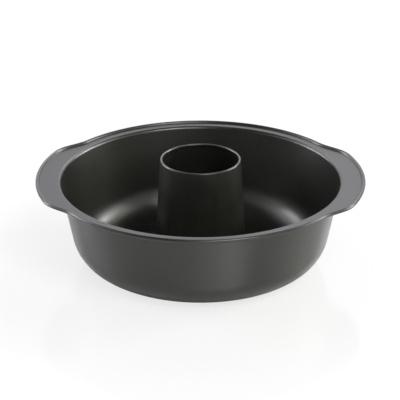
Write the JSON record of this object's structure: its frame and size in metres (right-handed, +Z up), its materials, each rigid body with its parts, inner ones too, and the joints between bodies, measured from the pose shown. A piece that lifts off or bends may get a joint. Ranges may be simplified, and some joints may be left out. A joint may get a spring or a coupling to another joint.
{
  "type": "ring cake pan",
  "caption": "Round sheet steel cake pan with a tapered centre tube, a rounded lower corner and two ear handles in its curled rim.",
  "frame": {"origin": "centre of the pan's base, on the surface that it stands on", "axes": "+X through the middle of one ear handle, +Z up along the tube's axis"},
  "size_m": [0.307, 0.287, 0.1033],
  "materials": {
    "non_stick_coating": "satin dark grey non-stick coating",
    "tube_coating": "satin dark grey non-stick coating",
    "wire_steel": "drawn bare steel wire"
  },
  "bodies": {
    "root": {"pan_body": "non_stick_coating", "centre_tube": "tube_coating", "rim_wire": "wire_steel"}
  },
  "joints": []
}
